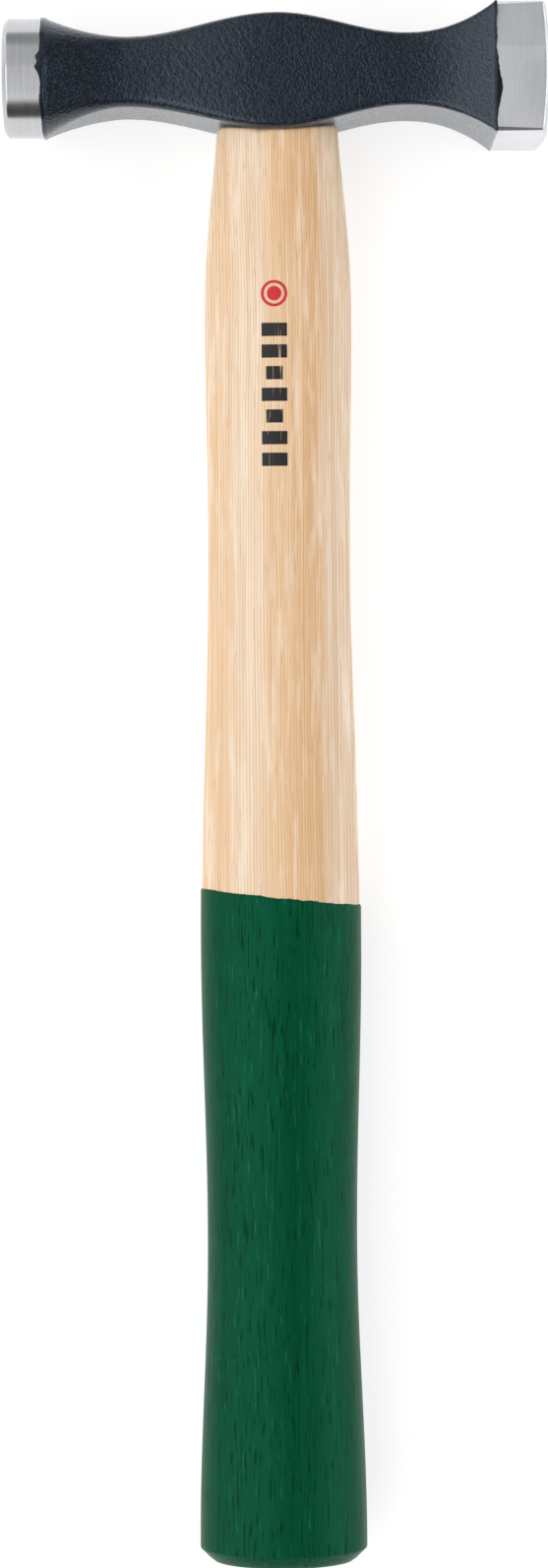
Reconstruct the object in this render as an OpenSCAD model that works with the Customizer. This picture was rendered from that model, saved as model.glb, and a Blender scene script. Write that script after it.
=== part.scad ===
// Double-faced planishing hammer: a forged steel head wedged on an oval wooden handle.
//
// The hammer lies on its side on a bench, with +Z up. The head lies along X, with its
// round face towards -X and its square face towards +X. The handle runs towards -Y.
// The origin is on the bench, under the middle of the outline.

/* [Overall] */
// Length from the top of the head to the butt of the handle
overall_len = 320; // [300:5:340]
// Length of the head, from face to face
head_len = 112; // [110:1:118]

/* [Polls] */
// Side of the square poll
square_side = 26.4; // [26:0.2:28]
// Length of the bare square poll, dome included
square_len = 11.6; // [10:0.2:13]
// Radius of the domed square face
dome_r = 105; // [80:5:140]
// Diameter of the round poll
round_d = 24.4; // [23.6:0.2:25.2]
// Length of the bare round poll
round_len = 8.4; // [7:0.2:10]
// Chamfer at the rim of the round face
round_chamfer = 0.9; // [0.4:0.1:1.4]

/* [Body of the head] */
// Height of the body at the eye
boss_h = 23.4; // [22.8:0.2:25]
// Depth of the body at the eye
boss_depth = 22; // [21:0.5:24]
// Height of the waist on the round side
round_waist_h = 14.4; // [12:0.2:16]
// Depth of the waist on the round side
round_waist_depth = 19.8; // [18:0.2:21]
// Height of the waist on the square side
square_waist_h = 14.8; // [12:0.2:16]
// Depth of the waist on the square side
square_waist_depth = 22.4; // [21:0.2:24]
// Radius of the body's long edges at the eye
edge_r = 1.2; // [1:0.1:2.4]
// Thickness of the black coating
coat_t = 0.25; // [0.2:0.05:0.4]

/* [Eye and wedges] */
// Long way across the narrowest part of the eye
eye_w = 19.2; // [18:0.2:20]
// How much wider the eye is at its two mouths
eye_flare = 1.2; // [0.6:0.1:1.6]
// Thickness of the wooden wedge at its top
wood_wedge_t = 3.4; // [2.4:0.2:4]
// Thickness of the steel wedge at its top
steel_wedge_t = 2; // [1.2:0.2:2.4]

/* [Handle] */
// Width of the handle at its shoulder
shoulder_w = 24.7; // [24:0.1:26]
// Width of the wood at the butt
butt_w = 33.8; // [32:0.2:35]
// Thickness of the handle for each unit of its width
handle_ratio = 0.735; // [0.7:0.005:0.76]
// Thickness of the dipped paint
dip_t = 0.3; // [0.2:0.05:0.4]
// Length of handle that the paint covers, at the middle of its width
dip_len = 138; // [120:2:150]
// Slant of the paint's upper edge, in degrees
dip_slant = 6; // [0:0.5:8]

/* [Hidden] */
$fn = 96;

// Places along Y, and the height of the hammer's own middle plane above the bench
top_y = overall_len / 2;
butt_y = -overall_len / 2;
head_y = top_y - square_side / 2;
mid_z = square_side / 2;
shoulder_gap = 0.3;
shoulder_y = head_y - boss_h / 2 - shoulder_gap;
tenon_recess = 0.4;
tenon_top_y = head_y + boss_h / 2 - tenon_recess;

// Distance from the eye to each waist, and how late each half flares
round_waist_x = 31;
square_waist_x = 26.5;
round_flare = 1.8;
square_flare = 2.2;
// Radius of the body's long edges at the round waist, at the round end, where it is nearly
// a full circle, and at the square end, where it is sharper than at the eye
round_waist_edge_r = 2 * edge_r;
round_end_edge_r = 0.96 * round_d / 2;
square_end_edge_r = 0.6 * edge_r;

// Each half of the body: where its waist and its end are, the half height and half depth
// at both, how late it flares, and the radius of its long edges at both
round_half = [round_waist_x, head_len / 2 - round_len, round_waist_h / 2,
    round_waist_depth / 2, round_d / 2, round_d / 2, round_flare,
    round_waist_edge_r, round_end_edge_r];
square_half = [square_waist_x, head_len / 2 - square_len, square_waist_h / 2,
    square_waist_depth / 2, square_side / 2, square_side / 2, square_flare,
    edge_r, square_end_edge_r];

// Steps along each half of the body, and along the arc of each of its four edges
half_steps = 18;
edge_steps = 5;
// How far the body's end runs on inside each poll, so that they are one forging
poll_bury = 0.6;
// How much the cheeks fall away towards their long edges
cheek_crown = 0.35;

// Steps along the eye and along each stretch of the handle, and points round the handle
eye_steps = 8;
handle_steps = 7;
oval_points = 40;

// The wood's own end, its chamfer, and how far its crown swells out past the chamfer
wood_butt_y = butt_y + dip_t;
butt_chamfer = 2.5;
butt_crown = 1.5;
// Stations down the handle: distance below the shoulder, and the width of the wood there
stations = [[0, shoulder_w], [38, 30.2], [83, 29.2], [165, 32.5], [227, 30.2],
    [shoulder_y - wood_butt_y - butt_crown - butt_chamfer, butt_w]];
// Outlines of the crowned end, as shares of its half width
crown_shares = [1, 0.8, 0.6, 0.35, 0.1];

// Depth and thinnest edge of the two wedges
wood_wedge_len = 19;
wood_wedge_tip = 0.8;
steel_wedge_len = 13;
steel_wedge_tip = 0.4;
steel_wedge_w = 11;
steel_wedge_turn = 38;

// How far the tenon's root reaches into the grip, so that they are one piece of wood
tenon_root = 0.5;
// Length of painted shell made beyond the paint's edge, and cut off at its slant
dip_spare = 14;

// Larger than the hammer, for cutting away
big = 2 * overall_len;

function blend(a, b, t) = a + (b - a) * t;
// Rises from 0 to 1, level at both ends
function ease(t) = (1 - cos(180 * t)) / 2;

// One size of the body at x: from the eye it eases to the waist, then flares to the poll
function body_size(x, half, at_eye, at_waist, at_end) =
    abs(x) < half[0]
        ? blend(at_eye, at_waist, ease(abs(x) / half[0]))
        : blend(at_waist, at_end, pow(flare_share(x, half), half[6]));
function flare_share(x, half) = min(1, (abs(x) - half[0]) / (half[1] - half[0]));

// Outline of the body across x, smaller by inset all round
function ring(x, inset) =
    let (half = x < 0 ? round_half : square_half,
        h = body_size(x, half, boss_h / 2, half[2], half[4]) - inset,
        d = body_size(x, half, boss_depth / 2, half[3], half[5]) - inset,
        r = body_size(x, half, edge_r, half[7], half[8]) - inset)
    [for (quarter = [0:3], i = [0:edge_steps])
        let (a = 90 * (quarter + i / edge_steps),
            y = corner_sign(quarter + 1) * (h - r) + r * cos(a),
            z = corner_sign(quarter) * (d - r) + r * sin(a))
        [x, y, z * (1 - cheek_crown * pow(y / h, 2) / d)]];
function corner_sign(quarter) = quarter % 4 < 2 ? 1 : -1;

// Places along X of the body's outlines, from the round end to the square end
body_xs = concat(
    [for (i = [half_steps:-1:1]) -round_half[1] * i / half_steps],
    [for (i = [0:half_steps]) square_half[1] * i / half_steps]);

// Closed skin through a list of outlines: the first and last are filled in
module loft(rings) {
    n = len(rings[0]);
    last = len(rings) - 1;
    polyhedron(
        points = [for (r = rings) each r],
        faces = concat([filled(n, 0)], skin_faces(last, n), [backwards(filled(n, last * n))]));
}

// Shell between two lists of outlines. It is open at its first outline, and closed by a
// floor at its last one if has_floor is true.
module shell(outer, inner, has_floor) {
    n = len(outer[0]);
    last = len(outer) - 1;
    inner_start = len(outer) * n;
    rim = [for (i = [0:n - 1])
        let (j = (i + 1) % n) [i, j, inner_start + j, inner_start + i]];
    polyhedron(
        points = [for (r = concat(outer, inner)) each r],
        faces = concat(
            skin_faces(last, n),
            [for (f = skin_faces(last, n)) raised(backwards(f), inner_start)],
            rim,
            has_floor
                ? [backwards(filled(n, last * n)), filled(n, inner_start + last * n)]
                : [for (f = rim) raised(backwards(f), last * n)]));
}

// Faces as lists of point numbers: round one outline, and between successive outlines
function filled(n, first) = [for (i = [0:n - 1]) first + i];
function backwards(face) = [for (i = [len(face) - 1:-1:0]) face[i]];
function raised(face, by) = [for (i = face) i + by];
function skin_faces(last, n) =
    [for (k = [0:last - 1], i = [0:n - 1])
        let (a = k * n + i, b = k * n + (i + 1) % n)
        each [[b, a, a + n], [b, a + n, b + n]]];

// The eye narrows from both mouths to the middle, as a turned shape flattened to an oval.
// It runs a little past the body at both mouths.
eye_half_len = boss_h / 2 + 1;
function eye_r(y) = eye_w / 2 + eye_flare / 2 * pow((y - head_y) / (boss_h / 2), 2);
module eye_space() {
    translate([0, 0, mid_z]) scale([1, 1, handle_ratio]) rotate([-90, 0, 0])
        rotate_extrude() polygon(concat(
            [[0, head_y - eye_half_len]],
            [for (i = [0:eye_steps])
                let (y = head_y + eye_half_len * (2 * i / eye_steps - 1)) [eye_r(y), y]],
            [[0, head_y + eye_half_len]]));
}

// Half width of the wood, t of the way from station n to the next one
function wood_r(n, t) =
    blend(stations[n][1], stations[n + 1][1], n == 0 ? sin(90 * t) : ease(t)) / 2;
// [half width, y] of the wood from the shoulder down to the butt's crown
wood_side = concat(
    [for (n = [0:len(stations) - 2], i = [0:handle_steps])
        if (i > 0 || n == 0)
            let (t = i / handle_steps)
            [wood_r(n, t), shoulder_y - blend(stations[n][0], stations[n + 1][0], t)]],
    [for (share = crown_shares)
        [share * (butt_w / 2 - butt_chamfer), wood_butt_y + butt_crown * pow(share, 2)]]);
// Oval outline of the handle at one of those places, thicker by extra all round
function oval(place, extra) =
    let (r = place[0], y = place[1] > wood_butt_y + butt_crown ? place[1] : place[1] - extra)
    [for (i = [0:oval_points - 1])
        let (a = 360 * i / oval_points)
        [(r + extra) * cos(a), y, mid_z + (handle_ratio * r + extra) * sin(a)]];

// Tapered plate standing on its thin edge, its thick end level with the tenon's top
module wedge_plate(top_t, tip_t, length, width) {
    translate([0, tenon_top_y, mid_z]) rotate([0, 90, 0])
        linear_extrude(width, center = true)
            polygon([[-top_t / 2, 0], [-tip_t / 2, -length], [tip_t / 2, -length], [top_t / 2, 0]]);
}

module wood_wedge_blank() {
    wedge_plate(wood_wedge_t, wood_wedge_tip, wood_wedge_len, 2 * eye_w);
}

module steel_wedge_blank() {
    translate([0, 0, mid_z]) rotate([0, steel_wedge_turn + 90, 0]) translate([0, 0, -mid_z])
        wedge_plate(steel_wedge_t, steel_wedge_tip, steel_wedge_len, steel_wedge_w);
}

// Poll lying along X, pushed to its place on the head's axis
module on_head_axis() {
    translate([0, head_y, mid_z]) children();
}

module steel_head() color("silver") difference() {
    on_head_axis() {
        loft([for (x = concat([body_xs[0] - poll_bury], body_xs,
            [body_xs[len(body_xs) - 1] + poll_bury])) ring(x, coat_t)]);
        round_poll();
        square_poll();
    }
    eye_space();
}

module round_poll() {
    rotate([0, -90, 0]) rotate_extrude() polygon([
        [0, head_len / 2 - round_len], [round_d / 2, head_len / 2 - round_len],
        [round_d / 2, head_len / 2 - round_chamfer],
        [round_d / 2 - round_chamfer, head_len / 2], [0, head_len / 2]]);
}

module square_poll() {
    intersection() {
        translate([head_len / 2 - square_len, -square_side / 2, -square_side / 2])
            cube([square_len, square_side, square_side]);
        translate([head_len / 2 - dome_r, 0, 0]) rotate([0, 90, 0]) sphere(dome_r);
    }
}

module head_coating() color([0.1, 0.12, 0.15]) difference() {
    on_head_axis()
        shell([for (x = body_xs) ring(x, 0)], [for (x = body_xs) ring(x, coat_t)], false);
    eye_space();
}

module wood_handle() color([0.87, 0.72, 0.53]) difference() {
    union() {
        loft([for (place = wood_side) oval(place, 0)]);
        intersection() {
            eye_space();
            translate([-big / 2, shoulder_y - tenon_root, -big / 2])
                cube([big, tenon_top_y - shoulder_y + tenon_root, big]);
        }
    }
    wood_wedge_blank();
    steel_wedge_blank();
}

module handle_dip() color([0.06, 0.33, 0.22]) difference() {
    painted = [for (place = wood_side) if (place[1] < butt_y + dip_len + dip_spare) place];
    shell([for (place = painted) oval(place, dip_t)], [for (place = painted) oval(place, 0)], true);
    translate([0, butt_y + dip_len, 0]) rotate([0, 0, -dip_slant])
        translate([-big / 2, 0, -big / 2]) cube(big);
}

module wood_wedge() color([0.76, 0.6, 0.42]) difference() {
    intersection() {
        eye_space();
        wood_wedge_blank();
    }
    steel_wedge_blank();
}

module steel_wedge() color([0.6, 0.62, 0.65]) steel_wedge_blank();

steel_head();
head_coating();
wood_handle();
handle_dip();
wood_wedge();
steel_wedge();
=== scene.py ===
"""Planishing hammer: the finished looks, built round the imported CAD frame.

Everything is in metres, in the CAD's own frame: the hammer lies on its side on a pale floor,
its head along X, its handle towards -Y, +Z up towards the camera.
"""

import math

import bpy
import numpy as np
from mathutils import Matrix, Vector, noise


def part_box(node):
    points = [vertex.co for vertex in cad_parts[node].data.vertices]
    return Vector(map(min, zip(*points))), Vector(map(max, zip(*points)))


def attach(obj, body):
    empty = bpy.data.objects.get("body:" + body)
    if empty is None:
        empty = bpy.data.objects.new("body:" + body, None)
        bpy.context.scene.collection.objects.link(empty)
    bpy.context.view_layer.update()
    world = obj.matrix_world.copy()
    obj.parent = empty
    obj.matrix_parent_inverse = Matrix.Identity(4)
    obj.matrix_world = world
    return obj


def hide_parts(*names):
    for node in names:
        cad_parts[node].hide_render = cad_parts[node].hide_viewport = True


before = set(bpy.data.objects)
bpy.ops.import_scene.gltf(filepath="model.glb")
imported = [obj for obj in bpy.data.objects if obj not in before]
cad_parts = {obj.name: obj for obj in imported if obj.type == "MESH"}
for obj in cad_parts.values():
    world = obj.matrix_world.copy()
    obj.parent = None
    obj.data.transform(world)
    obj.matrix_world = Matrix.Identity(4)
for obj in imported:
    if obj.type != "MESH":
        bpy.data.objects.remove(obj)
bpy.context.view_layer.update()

MM = 0.001
TAU = 2 * math.pi

# ---------------------------------------------------------------- places, from the frame

steel_low, steel_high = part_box("steel_head")
coat_low, coat_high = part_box("head_coating")
wood_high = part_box("wood_handle")[1]
dip_low, dip_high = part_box("handle_dip")

MID_Z = (steel_low.z + steel_high.z) / 2
HEAD_Y = (steel_low.y + steel_high.y) / 2
SQUARE_HALF = (steel_high.y - steel_low.y) / 2
ROUND_FACE_X = steel_low.x
SQUARE_FACE_X = steel_high.x
ROUND_BODY_X = coat_low.x
SQUARE_BODY_X = coat_high.x
TENON_TOP_Y = wood_high.y
BUTT_Y = dip_low.y

# The CAD's own shape values that no box gives
ROUND_R = 12.2 * MM
BOSS_HALF_H = 11.7 * MM
BOSS_HALF_D = 11.0 * MM
SHOULDER_GAP = 0.3 * MM
SHOULDER_Y = HEAD_Y - BOSS_HALF_H - SHOULDER_GAP
EYE_HALF_W = 9.6 * MM
EYE_FLARE = 0.6 * MM
HANDLE_RATIO = 0.735
EDGE_R = 1.2 * MM
CHEEK_CROWN = 0.35 * MM
DOME_R = 105 * MM
DIP_T = 0.3 * MM
DIP_LEN = 138 * MM
DIP_SLANT = math.radians(6)
BUTT_CHAMFER = 2.5 * MM
BUTT_CROWN = 1.5 * MM
WOOD_BUTT_Y = BUTT_Y + DIP_T
BUTT_HALF_W = dip_high.x - DIP_T

# Each half of the body: waist place, end place, half height and half depth at the waist and
# then at the end, how late it flares, and the radius of the long edges at waist and end
ROUND_SIDE = (
    31 * MM, -ROUND_BODY_X,
    7.2 * MM, 9.9 * MM, ROUND_R, ROUND_R,
    1.8, 2 * EDGE_R, 0.96 * ROUND_R,
)
SQUARE_SIDE = (
    26.5 * MM, SQUARE_BODY_X,
    7.4 * MM, 11.2 * MM, SQUARE_HALF, SQUARE_HALF,
    2.2, EDGE_R, 0.6 * EDGE_R,
)

# Stations down the handle: distance below the shoulder, and the width of the wood there
STATIONS = [(0, 24.7), (38, 30.2), (83, 29.2), (165, 32.5), (227, 30.2)]


# ---------------------------------------------------------------- small helpers

def ease(t):
    """Rises from 0 to 1, level at both ends."""
    return (1 - np.cos(np.pi * np.clip(t, 0, 1))) / 2


def mesh_piece(name, points, faces, materials, body="root"):
    """A smooth-shaded mesh object made from points and faces, riding on a body."""
    mesh = bpy.data.meshes.new(name)
    mesh.from_pydata([tuple(p) for p in points], [], faces)
    mesh.validate()
    mesh.update()
    mesh.polygons.foreach_set("use_smooth", [True] * len(mesh.polygons))
    for material in materials:
        mesh.materials.append(material)
    obj = bpy.data.objects.new(name, mesh)
    bpy.context.scene.collection.objects.link(obj)
    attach(obj, body)
    return obj


def bumps(points, scale, seed, octaves=2):
    """Smooth noise, about -1 to 1, at each point. scale is features per metre along X, Y, Z."""
    shift = Vector((seed * 7.1, seed * 3.7, seed * 5.3))
    found = np.zeros(len(points))
    for octave in range(octaves):
        size = 2 ** octave
        for i, p in enumerate(points):
            q = Vector((p[0] * scale[0], p[1] * scale[1], p[2] * scale[2])) * size + shift
            found[i] += noise.noise(q) / size
    return found


# ---------------------------------------------------------------- shapes of head and handle

def body_size(x, at_eye, waist, end):
    """One size of the body at x: it eases from the eye to the waist, then flares to the poll."""
    side = ROUND_SIDE if x < 0 else SQUARE_SIDE
    away = abs(x)
    if away < side[0]:
        return at_eye + (side[waist] - at_eye) * float(ease(away / side[0]))
    return side[waist] + (side[end] - side[waist]) * flare_share(x) ** side[6]


def flare_share(x):
    side = ROUND_SIDE if x < 0 else SQUARE_SIDE
    return min(1.0, max(0.0, (abs(x) - side[0]) / (side[1] - side[0])))


def body_outline(x, count):
    """Outline of the coated body across x as count even steps, starting at the top cheek."""
    h = body_size(x, BOSS_HALF_H, 2, 4)
    d = body_size(x, BOSS_HALF_D, 3, 5)
    r = body_size(x, EDGE_R, 7, 8)
    corners = []
    arc = np.linspace(0, np.pi / 2, 24)
    for quarter, (sy, sz) in enumerate([(1, 1), (-1, 1), (-1, -1), (1, -1)]):
        a = arc + quarter * np.pi / 2
        corners.append(np.stack([sy * (h - r) + r * np.cos(a), sz * (d - r) + r * np.sin(a)], 1))
    loop = np.concatenate(corners)
    loop = np.concatenate([loop, loop[:1]])
    steps = np.concatenate([[0], np.cumsum(np.linalg.norm(np.diff(loop, axis=0), axis=1))])
    even = np.linspace(0, steps[-1], count, endpoint=False)
    y = np.interp(even, steps, loop[:, 0])
    z = np.interp(even, steps, loop[:, 1])
    z = z * (1 - CHEEK_CROWN * (1 - flare_share(x)) * (y / h) ** 2 / d)
    return y, z


def eye_half_width(y):
    return EYE_HALF_W + EYE_FLARE * ((y - HEAD_Y) / BOSS_HALF_H) ** 2


def wood_half_width(y):
    """Half width of the wood at each y, from the shoulder down to the butt's crown."""
    down = (SHOULDER_Y - y) / MM
    last = (SHOULDER_Y - WOOD_BUTT_Y - BUTT_CROWN - BUTT_CHAMFER) / MM
    stations = STATIONS + [(last, 2 * BUTT_HALF_W / MM)]
    width = np.full(np.shape(y), stations[0][1], float)
    for n in range(len(stations) - 1):
        (at, a), (to, b) = stations[n], stations[n + 1]
        t = np.clip((down - at) / (to - at), 0, 1)
        rise = np.sin(np.pi / 2 * t) if n == 0 else ease(t)
        width = np.where(down >= at, a + (b - a) * rise, width)
    chamfer = np.clip((down - last) / (BUTT_CHAMFER / MM), 0, 1)
    return (width / 2) * MM - chamfer * BUTT_CHAMFER


def add_caps(rings, close_first, close_last):
    """Puts shrinking copies of the end outlines at both ends, so that each end is a filled disc."""
    shares = (0.8, 0.6, 0.4, 0.2, 0.02)

    def disc(ring):
        centre = ring.mean(0)
        return [centre + (ring - centre) * share for share in shares]

    first = disc(rings[0])[::-1] if close_first else []
    last = disc(rings[-1]) if close_last else []
    return first + list(rings) + last


def lofted(name, rings, materials, sharp=40):
    """A closed piece through equal outlines, each an array of points, wound round the way along."""
    count = len(rings[0])
    total = len(rings)
    faces = []
    for k in range(total - 1):
        a = k * count
        for i in range(count):
            j = (i + 1) % count
            faces.append((a + i, a + j, a + count + j, a + count + i))
    faces.append(tuple(range(count - 1, -1, -1)))
    faces.append(tuple(range((total - 1) * count, total * count)))
    obj = mesh_piece(name, np.concatenate(rings), faces, materials)
    obj.data.set_sharp_from_angle(angle=math.radians(sharp))
    return obj


def bump_at(angle, centre, width, height):
    """A smooth hump round a ring, centre and width in degrees."""
    off = (np.degrees(angle) - centre + 180) % 360 - 180
    return height * np.exp(-(off / width) ** 2)


# ---------------------------------------------------------------- the black coated body

BODY_AROUND = 320
BODY_STEP = 0.3 * MM
# The film thickens to a lip over this length, and its relief fades out towards the lip
FILM_LIP = 0.16 * MM
LIP_LEN = 0.9 * MM
LIP_SMOOTHING = 0.8
# Depth of the film's wormy relief, and its features per metre
WORM_DEPTH = 0.03 * MM
WORM_SCALE = 1100
# Length of body over which the ragged edge's shape dies away, and how far the end tucks in
RAG_REACH = 5 * MM
TUCKED_SHARE = 0.975
# How far the film runs on over each poll, in mm, and its humps: centre and width in degrees
# round the head, and height in mm
ROUND_RUN_ON = 0.75
ROUND_HUMPS = ((11, 3.5, 0.7), (1, 4.5, 0.9), (-75, 30, -0.35))
SQUARE_RUN_ON = 0.25
SQUARE_HUMPS = ((-17, 17, 0.95), (130, 15, 0.5))


def ragged_reach(y, z, is_round):
    """How far past the body's end the coating runs over the bare poll, round the outline."""
    spot = np.stack([np.full(len(y), 3.0 if is_round else 9.0), y, z], 1)
    wander = bumps(spot, (1, 260, 260), 11) * 0.3 + bumps(spot, (1, 1300, 1300), 5) * 0.1
    angle = np.arctan2(y, z)
    reach = ROUND_RUN_ON if is_round else SQUARE_RUN_ON
    for centre, width, height in ROUND_HUMPS if is_round else SQUARE_HUMPS:
        reach = reach + bump_at(angle, centre, width, height)
    return np.clip(reach + wander, 0.15, 2.5) * MM


def coated_body(material):
    """The forged body under its structured coating, with the eye cut through it."""
    xs = np.linspace(ROUND_BODY_X, SQUARE_BODY_X, round((SQUARE_BODY_X - ROUND_BODY_X) / BODY_STEP))
    outlines = np.array([body_outline(x, BODY_AROUND) for x in xs])
    moved = np.repeat(xs[:, None], BODY_AROUND, 1)
    for index, end in ((0, -1), (-1, 1)):
        reach = ragged_reach(*outlines[index], end < 0)
        away = np.abs(xs[index] - xs)
        moved += end * ease(1 - away / RAG_REACH)[:, None] * reach
    past_end = np.maximum(xs[0] - moved, moved - xs[-1])
    lip_share = ease(past_end / LIP_LEN + 1)
    sizes = np.stack([
        [np.interp(moved[:, i], xs, outlines[:, axis, i]) for i in range(BODY_AROUND)] for axis in (0, 1)
    ])
    y, z = sizes.transpose(0, 2, 1)
    grow = 1 + FILM_LIP * lip_share / np.hypot(y, z)
    rings = np.stack([moved, y * grow, z * grow], 2)
    out = np.gradient(rings, axis=1)
    out = np.stack([np.zeros(out.shape[:2]), out[:, :, 2], -out[:, :, 1]], 2)
    out /= np.linalg.norm(out, axis=2)[:, :, None]
    worms = bumps(rings.reshape(-1, 3), (WORM_SCALE,) * 3, 2, octaves=2).reshape(len(rings), -1)
    depth = WORM_DEPTH * (1 - LIP_SMOOTHING * lip_share)
    rings = list(rings + out * (worms * depth)[:, :, None])
    tuck = np.array([1, TUCKED_SHARE, TUCKED_SHARE])
    rings = [rings[0] * tuck] + rings + [rings[-1] * tuck]
    rings = [r + np.array([0, HEAD_Y, MID_Z]) for r in add_caps(rings, True, True)]
    body = lofted("coated_body", rings, [material])
    cut(body, eye_cutter())
    return body


def eye_cutter():
    ys = HEAD_Y + np.linspace(-1.2, 1.2, 25) * BOSS_HALF_H
    a = np.linspace(0, TAU, 128, endpoint=False)
    rings = []
    for y in ys[::-1]:
        r = float(eye_half_width(y))
        rings.append(np.stack([r * np.cos(a), np.full(len(a), y), MID_Z + HANDLE_RATIO * r * np.sin(a)], 1))
    return lofted("eye_cutter", rings, [])


def cut(obj, cutter):
    """Takes the cutter's shape out of obj for good, and removes the cutter."""
    modifier = obj.modifiers.new("cut", "BOOLEAN")
    modifier.operation = "DIFFERENCE"
    modifier.solver = "EXACT"
    modifier.object = cutter
    graph = bpy.context.evaluated_depsgraph_get()
    made = bpy.data.meshes.new_from_object(obj.evaluated_get(graph), depsgraph=graph)
    obj.modifiers.clear()
    obj.data = made
    made.set_sharp_from_angle(angle=math.radians(40))
    bpy.data.objects.remove(cutter)


# ---------------------------------------------------------------- the two bare polls

POLL_AROUND = 288
# Chamfer at the round face's rim, and how far its two edges are softened
CHAMFER = 0.9 * MM
SOFT = 0.09 * MM
# How far to the +X side of the body's end each poll's skin starts
POLL_START = 0.05 * MM


def round_poll(material):
    """The ground round poll: a turned band with a chamfered rim and a very slightly crowned face."""
    r, face = ROUND_R, ROUND_FACE_X
    diagonal = SOFT / math.sqrt(2)
    side = [(ROUND_BODY_X + POLL_START, r), (face + CHAMFER + 4 * SOFT, r), (face + CHAMFER + SOFT, r)]
    rim = [(face + CHAMFER, r - 0.2 * SOFT), (face + CHAMFER - diagonal, r - diagonal)]
    slope = [(face + diagonal, r - CHAMFER + diagonal), (face + 0.2 * SOFT, r - CHAMFER)]
    flat = [(face, r - CHAMFER - SOFT), (face, r - CHAMFER - 4 * SOFT)]
    profile = (side + rim + slope + flat)[::-1]
    a = np.linspace(0, TAU, POLL_AROUND, endpoint=False)
    rings = [
        np.stack([np.full(len(a), x), HEAD_Y + q * np.cos(a), MID_Z + q * np.sin(a)], 1)
        for x, q in profile
    ]
    return lofted("round_poll", add_caps(rings, True, True), [material], sharp=60)


# Bevel of the long edges, the break and drop of the cheek's upper facet, and the rim's radius
BEVEL_AT_BODY = 0.75 * MM
BEVEL_AT_FACE = 0.35 * MM
FACET_Y = 3.8 * MM
FACET_DROP = 0.62 * MM
RIM_R = 0.7 * MM


def square_outline(half, bevel):
    """A square with bevelled corners, in Y and Z about the head's axis."""
    near = half - bevel
    corners = np.array([(half, near), (near, half), (-near, half), (-half, near),
                        (-half, -near), (-near, -half), (near, -half), (half, -near)])
    edges = []
    for number, (start, end) in enumerate(zip(corners, np.roll(corners, -1, 0))):
        count = 4 if number % 2 == 0 else 90
        edges.append(start + (end - start) * np.linspace(0, 1, count, endpoint=False)[:, None])
    return np.concatenate(edges)


def square_poll(material):
    """The ground square poll: four flats, hand-ground in two facets on each cheek, and a dome."""
    def side(along):
        yz = square_outline(SQUARE_HALF, BEVEL_AT_BODY + (BEVEL_AT_FACE - BEVEL_AT_BODY) * along)
        over = np.maximum(0, yz[:, 0] - FACET_Y) / (SQUARE_HALF - FACET_Y)
        yz[:, 1] *= 1 - FACET_DROP / SQUARE_HALF * over
        return yz

    def dome(yz):
        return SQUARE_FACE_X - DOME_R + np.sqrt(DOME_R ** 2 - (yz ** 2).sum(1))

    def ring(share, back):
        yz = side(1) * share
        return np.column_stack([dome(yz) - back, HEAD_Y + yz[:, 0], MID_Z + yz[:, 1]])

    rings = []
    for along in (0, 0.25, 0.5, 0.75, 0.94, 0.985):
        yz = side(along)
        x = SQUARE_BODY_X + POLL_START + (dome(yz) - RIM_R - SQUARE_BODY_X) * along
        rings.append(np.column_stack([x, HEAD_Y + yz[:, 0], MID_Z + yz[:, 1]]))
    for turn in np.linspace(0, np.pi / 2, 6):
        rings.append(ring(1 - RIM_R / SQUARE_HALF * (1 - math.cos(turn)), RIM_R * (1 - math.sin(turn))))
    rings += [ring(s, 0) for s in np.linspace(0.95, 0.02, 24)]
    return lofted("square_poll", add_caps(rings, True, False), [material], sharp=30)


# ---------------------------------------------------------------- the handle and its paint

HANDLE_AROUND = 400
# Saw marks round the shoulder's rim, and the length of wood that is fitted to the head
TOOTH_COUNT = 150
TOOTH = 0.16 * MM
SADDLE_REACH = 5 * MM
# The tenon's skin ends below the wedges' tops and stays clear of the eye
TENON_DROP = 0.15 * MM
TENON_SLACK = 0.03 * MM


def oval(y, r, extra=0.0):
    """Points of the handle's oval at height y and half width r: each may differ round the ring."""
    a = np.linspace(0, TAU, HANDLE_AROUND, endpoint=False)
    return np.stack([
        (r + extra) * np.cos(a),
        np.broadcast_to(y, a.shape),
        MID_Z + (HANDLE_RATIO * r + extra) * np.sin(a),
    ], 1)


def butt_rings(extra):
    """The crowned end of the handle, from its chamfer in to the middle."""
    rim = BUTT_HALF_W - BUTT_CHAMFER
    return [
        oval(WOOD_BUTT_Y - extra + BUTT_CROWN * share ** 2, share * rim, extra * share)
        for share in np.linspace(0.97, 0.02, 16)
    ]


def saw_teeth(seed):
    """The saw's small steps round the shoulder's rim, from 0 to 1."""
    a = np.arange(HANDLE_AROUND) / HANDLE_AROUND
    place = np.stack([np.cos(a * TAU), np.sin(a * TAU), np.zeros(len(a))], 1)
    saw = (a * TOOTH_COUNT + 0.4 * bumps(place, (9, 9, 9), seed)) % 1
    return saw * (0.6 + 0.5 * bumps(place, (14, 14, 14), seed + 1))


def saddled(r, down=0.0):
    """An outline near the shoulder, which rises at its sides to fit the head's round underside."""
    ring = oval(SHOULDER_Y - down, r)
    under_head = np.array([body_size(x, BOSS_HALF_H, 2, 4) for x in ring[:, 0]])
    ring[:, 1] += (BOSS_HALF_H - under_head) * (1 - down / SADDLE_REACH)
    return ring


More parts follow.
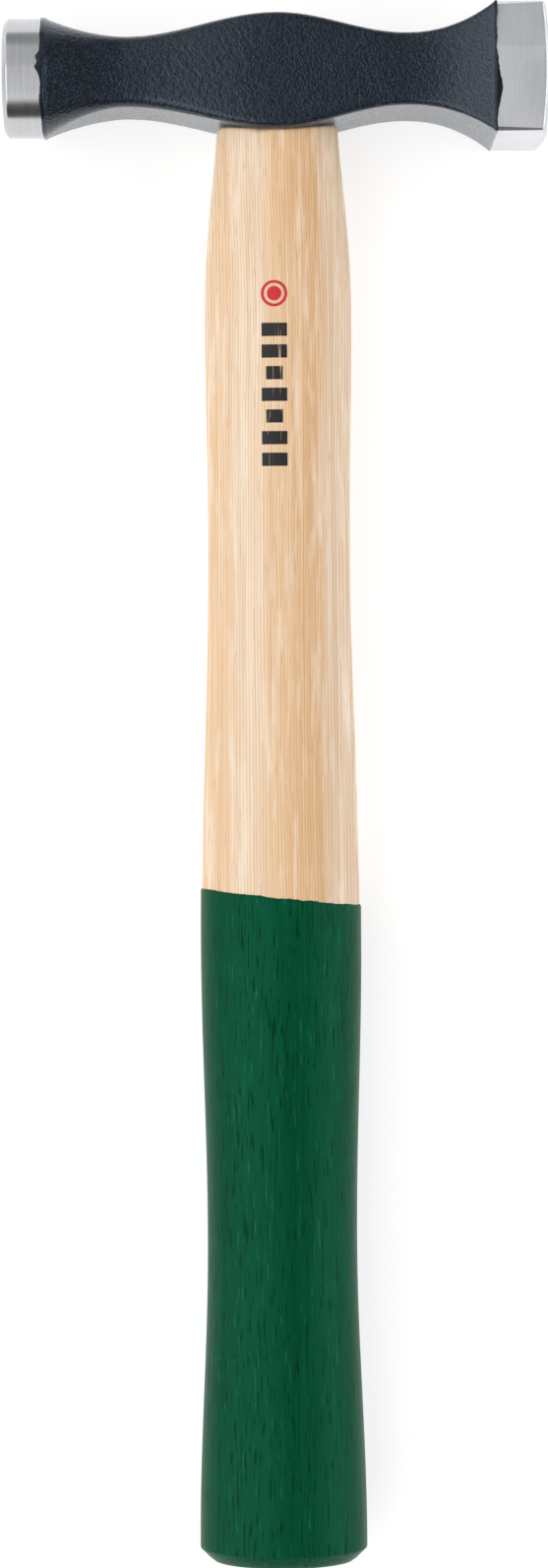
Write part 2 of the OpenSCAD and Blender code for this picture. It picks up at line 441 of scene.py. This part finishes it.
def handle(material):
    """The whole wooden handle: tenon, sawn shoulder, waisted grip and crowned butt."""
    tenon_ys = np.linspace(TENON_TOP_Y - TENON_DROP, SHOULDER_Y, 14)
    rings = [oval(y, float(eye_half_width(y)) - TENON_SLACK) for y in tenon_ys]
    top = float(wood_half_width(SHOULDER_Y))
    teeth = saw_teeth(3) * TOOTH
    rings += [saddled(r) for r in (top - 1.2 * MM, top - 0.8 * MM)]
    rings.append(saddled(top - 0.5 * MM, 0.5 * teeth))
    rings.append(saddled(top - 0.22 * MM - teeth, 0.05 * MM + teeth))
    rings.append(saddled(top - 0.03 * MM - 0.4 * teeth, 0.25 * MM + teeth))
    for down in (0.6 * MM, 1.2 * MM, 2.2 * MM, 3.4 * MM):
        rings.append(saddled(float(wood_half_width(SHOULDER_Y - down)), down))
    ys = np.arange(SHOULDER_Y - SADDLE_REACH, WOOD_BUTT_Y + BUTT_CROWN, -1.2 * MM)
    rings += [oval(y, wood_half_width(y)) for y in ys]
    rings += butt_rings(0)
    return lofted("wooden_handle", add_caps(rings, True, False), [material], sharp=50)


def dip_edge():
    """Height of the paint's upper edge round the handle: slanted, with a slight waver."""
    a = np.linspace(0, TAU, HANDLE_AROUND, endpoint=False)
    place = oval(BUTT_Y, BUTT_HALF_W)
    waver = bumps(place, (350, 0, 350), 4) * 0.22 + bumps(place, (1500, 0, 1500), 8) * 0.1
    return BUTT_Y + DIP_LEN - BUTT_HALF_W * np.cos(a) * math.tan(DIP_SLANT) + waver * MM


def dipped_paint(material):
    """The dipped paint: a thin film with a rounded upper edge that runs on round the butt."""
    edge = dip_edge()
    last = WOOD_BUTT_Y + BUTT_CROWN + BUTT_CHAMFER
    film = [(0, -0.25), (0.04, 0.2), (0.12, 0.6), (0.28, 0.95), (0.6, 1.08), (1.2, 1.04), (2.2, 1)]
    rings = [
        oval(edge - down * MM, wood_half_width(edge - down * MM), DIP_T * share)
        for down, share in film
    ]
    start = edge - film[-1][0] * MM
    rings += [
        oval(start + (last - start) * t, wood_half_width(start + (last - start) * t), DIP_T)
        for t in np.linspace(0, 1, 110)[1:]
    ]
    round_over = [(0.25, 0.06), (0.5, 0.3), (1.25, 1.05), (2.2, 2.0), (2.45, 2.35)]
    rings += [oval(last - down * MM, BUTT_HALF_W - narrow * MM, DIP_T) for down, narrow in round_over]
    rings += butt_rings(DIP_T)
    return lofted("dipped_paint", add_caps(rings, True, False), [material], sharp=50)


# ---------------------------------------------------------------- the generic printed mark

INK_LIFT = 0.03 * MM
MARK_X = -0.8 * MM
DOT_Y = 101 * MM
DOT_R = 2.7 * MM
BARS_TOP_Y = 95 * MM
BAR_PITCH = 4.4 * MM
BAR_HEIGHT = 2.7 * MM
BAR_WIDTHS = (5.2, 5.2, 3.4, 5.2, 3.4, 5.2, 5.2)


def inked(name, shapes, material):
    """Thin ink on the upper side of the handle. Each shape gives (x, y) at u, v from 0 to 1."""
    points, faces = [], []
    steps_u, steps_v = 48, 10
    for shape in shapes:
        base = len(points)
        for v in np.linspace(0, 1, steps_v + 1):
            for u in np.linspace(0, 1, steps_u + 1):
                x, y = shape(u, v)
                r = float(wood_half_width(y))
                points.append((x, y, MID_Z + HANDLE_RATIO * r * math.sqrt(1 - (x / r) ** 2) + INK_LIFT))
        for row in range(steps_v):
            for column in range(steps_u):
                a = base + row * (steps_u + 1) + column
                faces.append((a, a + 1, a + steps_u + 2, a + steps_u + 1))
    return mesh_piece(name, points, faces, [material])


def ring_shape(inner, outer):
    """A ring of ink about the dot's place, run clockwise so that its faces look up."""
    def place(u, v):
        r = outer + (inner - outer) * v
        return MARK_X + r * math.cos(u * TAU), DOT_Y + r * math.sin(u * TAU)
    return place


def bar_shape(index):
    """One plain bar of the column below the dot."""
    half = BAR_WIDTHS[index] / 2 * MM
    low = BARS_TOP_Y - index * BAR_PITCH - BAR_HEIGHT

    def place(u, v):
        return MARK_X + half * (2 * u - 1), low + BAR_HEIGHT * v
    return place


# ---------------------------------------------------------------- materials

class Graph:
    """Builds a node tree in few lines."""

    def __init__(self, tree):
        self.tree = tree
        self.tree.nodes.clear()

    def set(self, node, inputs):
        for name, value in inputs.items():
            socket = node.inputs[name]
            if isinstance(value, bpy.types.NodeSocket):
                self.tree.links.new(value, socket)
            else:
                socket.default_value = value

    def add(self, kind, inputs=None, **settings):
        node = self.tree.nodes.new(kind)
        for name, value in settings.items():
            setattr(node, name, value)
        self.set(node, inputs or {})
        return node

    def stretched(self, x, y, z, offset=(0, 0, 0)):
        """Object coordinates in features per metre along each axis."""
        return self.add("ShaderNodeMapping", {
            "Vector": self.place, "Scale": (x, y, z), "Location": offset}).outputs[0]

    def noise(self, vector, detail=2.0, roughness=0.5, distortion=0.0):
        return self.add("ShaderNodeTexNoise", {
            "Vector": vector, "Scale": 1.0, "Detail": detail, "Roughness": roughness,
            "Distortion": distortion}).outputs["Fac"]

    def math(self, operation, a, b=0.0, clamp=False):
        node = self.add("ShaderNodeMath", {0: a, 1: b}, operation=operation, use_clamp=clamp)
        return node.outputs[0]

    def remap(self, value, low, high, to_low=0.0, to_high=1.0):
        return self.add("ShaderNodeMapRange", {
            "Value": value, "From Min": low, "From Max": high,
            "To Min": to_low, "To Max": to_high}).outputs[0]

    def ramp(self, value, stops):
        node = self.add("ShaderNodeValToRGB", {"Fac": value})
        elements = node.color_ramp.elements
        while len(elements) < len(stops):
            elements.new(0.5)
        for element, (at, colour) in zip(elements, stops):
            element.position = at
            element.color = (*colour, 1)
        return node.outputs["Color"]

    def mix(self, share, a, b, blend="MIX"):
        node = self.add("ShaderNodeMix", {"Factor": share}, data_type="RGBA", blend_type=blend)
        colours = [i for i in node.inputs if i.type == "RGBA"]
        for socket, value in zip(colours, (a, b)):
            if isinstance(value, bpy.types.NodeSocket):
                self.tree.links.new(value, socket)
            else:
                socket.default_value = (*value, 1)
        return [o for o in node.outputs if o.type == "RGBA"][0]

    def bump(self, height, distance, strength=1.0, normal=None):
        inputs = {"Height": height, "Distance": distance, "Strength": strength}
        if normal is not None:
            inputs["Normal"] = normal
        return self.add("ShaderNodeBump", inputs).outputs[0]

    def axis(self, name):
        return self.add("ShaderNodeSeparateXYZ", {"Vector": self.place}).outputs[name]


class Surface(Graph):
    """A material with one Principled shader, fed from object coordinates."""

    def __init__(self, name):
        self.material = bpy.data.materials.new(name)
        self.material.use_nodes = True
        super().__init__(self.material.node_tree)
        self.place = self.add("ShaderNodeTexCoord").outputs["Object"]
        self.shader = self.add("ShaderNodeBsdfPrincipled")
        self.add("ShaderNodeOutputMaterial", {"Surface": self.shader.outputs[0]})


# Distance between the wood's growth lines
GROWTH_PITCH = 0.62 * MM
# Bands of colour across the handle, from its left edge to its right edge: the wood's own tone, with a
# painted highlight in the pale band left of the middle
WOOD_TONE_AND_HIGHLIGHT_BANDS = [
    (0.00, (0.84, 0.64, 0.45)), (0.10, (0.85, 0.62, 0.41)), (0.17, (0.89, 0.66, 0.45)),
    (0.26, (0.93, 0.76, 0.58)), (0.38, (0.91, 0.71, 0.53)), (0.46, (0.85, 0.61, 0.39)),
    (0.60, (0.79, 0.53, 0.31)), (0.76, (0.75, 0.49, 0.275)), (0.79, (0.80, 0.60, 0.43)),
    (0.90, (0.82, 0.65, 0.49)), (1.00, (0.74, 0.55, 0.39)),
]


# Darker marks on the wood: x, y, half width and half height in mm, colour and strength. The first is
# painted shade on the wood just under the head, at the shoulder, and the rest are pin knots.
KNOTS_AND_SHADE = [
    # Painted shade at the shoulder, under the head
    (-3.4, 134.7, 2.6, 0.8, (0.42, 0.22, 0.10), 0.7),
    (-5.2, 100.0, 0.22, 0.5, (0.30, 0.15, 0.06), 0.9),
    (-9.6, 31.0, 0.25, 0.5, (0.25, 0.12, 0.05), 0.9),
    (10.7, 71.0, 0.3, 0.45, (0.35, 0.18, 0.08), 0.8),
]


def wood_colour(g):
    """Pale straight grain: wide bands, even growth lines and small dark pores, all along Y. The pale band
    left of the middle and the pale patches along the grain are painted highlights.
    """
    wander = g.noise(g.stretched(40, 9, 40), detail=2)
    across = g.math("ADD", g.axis("X"), g.math("MULTIPLY", g.math("SUBTRACT", wander, 0.5), 0.005))
    # The pale band left of the middle is a painted highlight
    bands = g.ramp(g.remap(across, -16.5 * MM, 16.5 * MM), WOOD_TONE_AND_HIGHLIGHT_BANDS)
    lines = g.noise(g.stretched(1250, 9, 420), detail=3, roughness=0.65)
    wide = g.noise(g.stretched(280, 5, 120), detail=2)
    # Pale patches stretched along the grain: painted highlights
    pale_glint_patches = g.noise(g.stretched(420, 40, 160, (3, 1, 2)), detail=3, roughness=0.7)
    growth = g.math("SINE", g.math("MULTIPLY", across, TAU / GROWTH_PITCH))
    dark = g.mix(1.0, bands, (0.82, 0.69, 0.54), "MULTIPLY")
    colour = g.mix(g.remap(growth, 0.0, 1, 0, 0.75), bands, dark)
    colour = g.mix(g.remap(lines, 0.46, 0.66, 0, 0.55), colour, dark)
    colour = g.mix(g.remap(lines, 0.44, 0.34, 0, 0.3), colour, (0.97, 0.86, 0.72))
    colour = g.mix(g.remap(wide, 0.50, 0.70, 0, 0.14), colour, (0.74, 0.48, 0.29))
    colour = g.mix(g.remap(pale_glint_patches, 0.50, 0.70, 0, 0.5), colour, (0.98, 0.86, 0.71))
    pores = g.noise(g.stretched(2600, 170, 2600), detail=1)
    colour = g.mix(g.remap(pores, 0.64, 0.76, 0, 0.35), colour, (0.52, 0.31, 0.16))
    return colour, lines, pores


def knot_and_shade_mark(g, colour, centre, radius, tint, strength):
    """A small soft-edged mark in the wood about a point (x, y)."""
    away = g.add("ShaderNodeVectorMath", {
        0: g.place, 1: (centre[0], centre[1], MID_Z + HANDLE_RATIO * wood_half_width(centre[1]))},
        operation="SUBTRACT").outputs[0]
    squeezed = g.add("ShaderNodeVectorMath", {
        0: away, 1: (1 / radius[0], 1 / radius[1], 1 / (3 * radius[0]))}, operation="MULTIPLY").outputs[0]
    length = g.add("ShaderNodeVectorMath", {0: squeezed}, operation="LENGTH").outputs["Value"]
    fray = g.noise(g.stretched(1400, 500, 1400), detail=3)
    share = g.remap(g.math("ADD", length, g.math("MULTIPLY", fray, 0.9)), 0.6, 1.5, strength, 0.0)
    return g.mix(share, colour, tint)


def wood_material():
    g = Surface("hickory_wood")
    colour, lines, pores = wood_colour(g)
    # Pin knots, and painted shade at the shoulder under the head
    for x, y, half_width, half_height, tint, strength in KNOTS_AND_SHADE:
        colour = knot_and_shade_mark(g, colour, (x * MM, y * MM), (half_width * MM, half_height * MM), tint, strength)
    relief = g.math("SUBTRACT", g.math("MULTIPLY", lines, 0.5), g.remap(pores, 0.62, 0.76))
    g.set(g.shader, {
        "Base Color": colour,
        "Roughness": g.remap(lines, 0.3, 0.7, 0.50, 0.66),
        "IOR": 1.4,
        "Normal": g.bump(relief, 0.035 * MM, 0.8),
    })
    return g.material


def dip_material():
    """Satin green paint, thin enough for the wood's pores and lines to show through as streaks."""
    g = Surface("green_dip_paint")
    streaks = g.noise(g.stretched(1300, 26, 700), detail=3, roughness=0.6)
    pores = g.noise(g.stretched(2400, 150, 2400), detail=2)
    cloud = g.noise(g.stretched(60, 18, 60), detail=2)
    colour = g.mix(g.remap(streaks, 0.35, 0.7), (0.0010, 0.056, 0.023), (0.0022, 0.075, 0.034))
    colour = g.mix(g.remap(pores, 0.59, 0.66, 0, 0.95), colour, (0.0003, 0.016, 0.006))
    colour = g.mix(g.remap(pores, 0.36, 0.29, 0, 0.7), colour, (0.016, 0.150, 0.085))
    colour = g.mix(g.remap(cloud, 0.35, 0.7, 0, 0.3), colour, (0.0008, 0.050, 0.020))
    relief = g.math("SUBTRACT", g.math("MULTIPLY", streaks, 0.5), g.remap(pores, 0.60, 0.74))
    g.set(g.shader, {
        "Base Color": colour,
        "Roughness": g.remap(streaks, 0.3, 0.7, 0.34, 0.46),
        "IOR": 1.42,
        "Specular IOR Level": 0.26,
        "Specular Tint": (0.15, 1.0, 0.6, 1),
        "Normal": g.bump(relief, 0.05 * MM, 0.8),
    })
    return g.material


def coating_material():
    """Blue-black structured paint: a fine grainy skin, smoother where it runs over the polls."""
    g = Surface("structured_black_paint")
    fine = g.noise(g.stretched(1900, 1900, 1900), detail=1, roughness=0.5, distortion=0.3)
    grit = g.noise(g.stretched(3200, 3200, 3200, (5, 5, 5)), detail=1)
    cloud = g.noise(g.stretched(60, 60, 60), detail=2)
    height = g.math("ADD", fine, g.math("MULTIPLY", grit, 0.4))
    past, before, left = 0.1 * MM, 0.3 * MM, 0.15
    over_round = g.remap(g.axis("X"), ROUND_BODY_X - past, ROUND_BODY_X + before, left, 1)
    over_square = g.remap(g.axis("X"), SQUARE_BODY_X - before, SQUARE_BODY_X + past, 1, left)
    height = g.math("MULTIPLY", height, g.math("MULTIPLY", over_round, over_square))
    colour = g.mix(g.remap(fine, 0.35, 0.7), (0.0060, 0.0075, 0.0110), (0.0100, 0.0125, 0.0180))
    colour = g.mix(g.remap(cloud, 0.4, 0.65, 0, 0.5), colour, (0.0070, 0.0090, 0.0130))
    g.set(g.shader, {
        "Base Color": colour,
        "Roughness": g.remap(grit, 0.3, 0.7, 0.13, 0.21),
        "IOR": 1.5,
        "Specular Tint": (0.52, 0.74, 1.0, 1),
        "Coat Weight": 0.35,
        "Coat Roughness": 0.12,
        "Sheen Weight": 0.35,
        "Sheen Roughness": 0.25,
        "Sheen Tint": (0.80, 0.92, 1.0, 1),
        "Normal": g.bump(height, 0.20 * MM, 1.0),
    })
    return g.material


def ground_steel(name, roughness, tint, lines_x, lines_round):
    """Bare steel with fine grinding lines round the poll and faint cloudy wear."""
    g = Surface(name)
    scratches = g.noise(g.stretched(lines_x, lines_round, lines_round), detail=3, roughness=0.7)
    cloud = g.noise(g.stretched(160, 160, 160), detail=3)
    stray = g.noise(g.stretched(300, 3200, 3200, (2, 2, 2)), detail=1)
    colour = g.mix(g.remap(scratches, 0.35, 0.65), tint, tuple(c * 0.90 for c in tint))
    colour = g.mix(g.remap(cloud, 0.4, 0.7, 0, 0.3), colour, tuple(c * 0.92 for c in tint))
    colour = g.mix(g.remap(stray, 0.70, 0.76, 0, 0.4), colour, tuple(c * 0.72 for c in tint))
    g.set(g.shader, {
        "Base Color": colour,
        "Metallic": 1.0,
        "Roughness": g.remap(cloud, 0.3, 0.7, roughness - 0.02, roughness + 0.03),
        "Anisotropic": 0.8,
        "Anisotropic Rotation": 0.25,
        "Tangent": g.add("ShaderNodeTangent", direction_type="RADIAL", axis="X").outputs[0],
        "Normal": g.bump(scratches, 0.006 * MM, 0.8),
    })
    return g.material


def ink_material(name, ink, worn):
    """Printing ink that has skipped a few of the wood's pores and lines."""
    g = Surface(name)
    skips = g.noise(g.stretched(1500, 60, 900), detail=3, roughness=0.7)
    colour = g.mix(g.remap(skips, 0.62, 0.72, 0, worn), ink, (0.70, 0.48, 0.30))
    g.set(g.shader, {
        "Base Color": colour,
        "Roughness": g.remap(skips, 0.3, 0.7, 0.42, 0.6),
        "IOR": 1.45,
        "Normal": g.bump(skips, 0.02 * MM, 0.6),
    })
    return g.material


def wedge_wood_material():
    """Sawn end of a hardwood wedge: rows of open pores on a darker ground."""
    g = Surface("wedge_wood")
    ends = g.noise(g.stretched(1600, 200, 1600), detail=3)
    bands = g.noise(g.stretched(300, 30, 900), detail=2)
    colour = g.mix(g.remap(bands, 0.35, 0.65), (0.50, 0.32, 0.17), (0.66, 0.46, 0.27))
    colour = g.mix(g.remap(ends, 0.55, 0.7, 0, 0.7), colour, (0.20, 0.11, 0.05))
    g.set(g.shader, {
        "Base Color": colour,
        "Roughness": g.remap(ends, 0.3, 0.7, 0.6, 0.8),
        "Normal": g.bump(ends, 0.05 * MM, 0.8),
    })
    return g.material


def floor_material():
    """Matt pale studio sweep, lit a little from behind as a light table is."""
    g = Surface("pale_floor")
    mottle = g.noise(g.stretched(3, 3, 3), detail=2)
    g.set(g.shader, {
        "Base Color": g.mix(mottle, FLOOR_COLOUR, tuple(c * 0.99 for c in FLOOR_COLOUR)),
        "Roughness": 0.9,
        "Specular IOR Level": 0.1,
        "Emission Color": (1, 1, 1, 1),
        "Emission Strength": FLOOR_GLOW,
    })
    return g.material


# ---------------------------------------------------------------- camera, floor and light

# The camera looks straight down from this height above the hammer's middle plane
CAMERA_RISE = 800 * MM
CAMERA_ROLL = math.radians(0.28)
VIEW_CENTRE = (-1.3 * MM, 1.2 * MM)
VIEW_LENGTH = 323.3 * MM
FLOOR_COLOUR = (0.34, 0.34, 0.34)
FLOOR_GLOW = 0.76
FLOOR_HALF = 4.0


def make_camera():
    data = bpy.data.cameras.new("studio_camera")
    data.sensor_width = 36
    data.lens = data.sensor_width * CAMERA_RISE / VIEW_LENGTH
    data.clip_start, data.clip_end = 0.01, 20
    camera = bpy.data.objects.new("studio_camera", data)
    camera.location = (*VIEW_CENTRE, MID_Z + CAMERA_RISE)
    camera.rotation_euler = (0, 0, -CAMERA_ROLL)
    bpy.context.scene.collection.objects.link(camera)
    bpy.context.scene.camera = camera


def make_floor():
    points = [(x, y, 0) for y in (-FLOOR_HALF, FLOOR_HALF) for x in (-FLOOR_HALF, FLOOR_HALF)]
    mesh = bpy.data.meshes.new("floor")
    mesh.from_pydata(points, [], [(0, 1, 3, 2)])
    mesh.materials.append(floor_material())
    floor = bpy.data.objects.new("floor", mesh)
    bpy.context.scene.collection.objects.link(floor)


def window(g, angle, low, high, soft):
    """1 where the angle is between low and high, in degrees, with soft edges."""
    edges = []
    for at, width in ((low, soft), (high, -soft)):
        edges.append(g.add("ShaderNodeMapRange", {
            "Value": angle, "From Min": math.radians(at - width / 2),
            "From Max": math.radians(at + width / 2)}, interpolation_type="SMOOTHSTEP").outputs[0])
    return g.math("MULTIPLY", *edges)


def make_light():
    """Soft panels all round as the room sees them: each is a window in two angles.

    Across runs from -90 at the left of the hammer, over 0 overhead, to 90 at its right.
    Along runs from -90 past the butt of the handle to 90 past the top of the head.
    """
    world = bpy.data.worlds.new("studio")
    world.use_nodes = True
    g = Graph(world.node_tree)
    direction = g.add("ShaderNodeTexCoord").outputs["Generated"]
    parts = g.add("ShaderNodeSeparateXYZ", {"Vector": direction}).outputs
    across = g.math("ARCTAN2", parts["X"], parts["Z"])
    along = g.math("ARCSINE", parts["Y"])
    light = ROOM_LIGHT
    for low_x, high_x, low_y, high_y, soft, strength in PANELS:
        wide = window(g, across, low_x, high_x, soft)
        deep = window(g, along, low_y, high_y, soft)
        panel = g.math("MULTIPLY", wide, deep)
        light = g.math("ADD", light, g.math("MULTIPLY", panel, strength))
    seen = g.add("ShaderNodeLightPath").outputs["Is Camera Ray"]
    backdrop = g.add("ShaderNodeBackground", {"Color": (1, 1, 1, 1), "Strength": 1.0})
    room = g.add("ShaderNodeBackground", {"Color": (1, 1, 1, 1), "Strength": light})
    both = g.add("ShaderNodeMixShader", {0: seen, 1: room.outputs[0], 2: backdrop.outputs[0]})
    g.add("ShaderNodeOutputWorld", {"Surface": both.outputs[0]})
    bpy.context.scene.world = world


ROOM_LIGHT = 0.05
# The last two panels are the faint light past the head and the fill between the two main ones.
# Each panel: across from and to, along from and to, softness of its edges, in degrees; strength
PANELS = [
    (-74, -9, -52, 16, 14, 2.1),
    (42, 80, -52, 45, 14, 2.2),
    (-90, 0, 16, 60, 16, 0.85),
    (-90, 90, 60, 120, 16, 0.3),
    (-9, 42, -52, 16, 16, 0.08),
]


# ---------------------------------------------------------------- put together

def dress_cad_node(name, material):
    """Gives a CAD node that stays its own material."""
    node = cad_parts[name]
    node.data.materials.clear()
    node.data.materials.append(material)


def stand_for(piece, node):
    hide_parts(node)


make_camera()
make_floor()
make_light()

scene = bpy.context.scene
scene.view_settings.view_transform = "Standard"
scene.view_settings.look = "None"

stand_for(coated_body(coating_material()), "head_coating")
bare = ground_steel("ground_steel", 0.24, (0.60, 0.61, 0.63), 2600, 90)
bare_square = ground_steel("ground_steel_square", 0.33, (0.70, 0.715, 0.745), 2600, 120)
stand_for(round_poll(bare), "steel_head")
stand_for(square_poll(bare_square), "steel_head")
stand_for(handle(wood_material()), "wood_handle")
stand_for(dipped_paint(dip_material()), "handle_dip")

black_ink = ink_material("black_ink", (0.012, 0.011, 0.012), 0.8)
red_ink = ink_material("red_ink", (0.62, 0.022, 0.035), 0.5)
bars = inked("printed_bars", [bar_shape(i) for i in range(len(BAR_WIDTHS))], black_ink)
dot = inked("printed_dot", [ring_shape(0.0, 0.55 * DOT_R), ring_shape(0.78 * DOT_R, DOT_R)], red_ink)

dress_cad_node("wood_wedge", wedge_wood_material())
dress_cad_node("steel_wedge", ground_steel("wedge_steel", 0.4, (0.5, 0.5, 0.52), 900, 900))
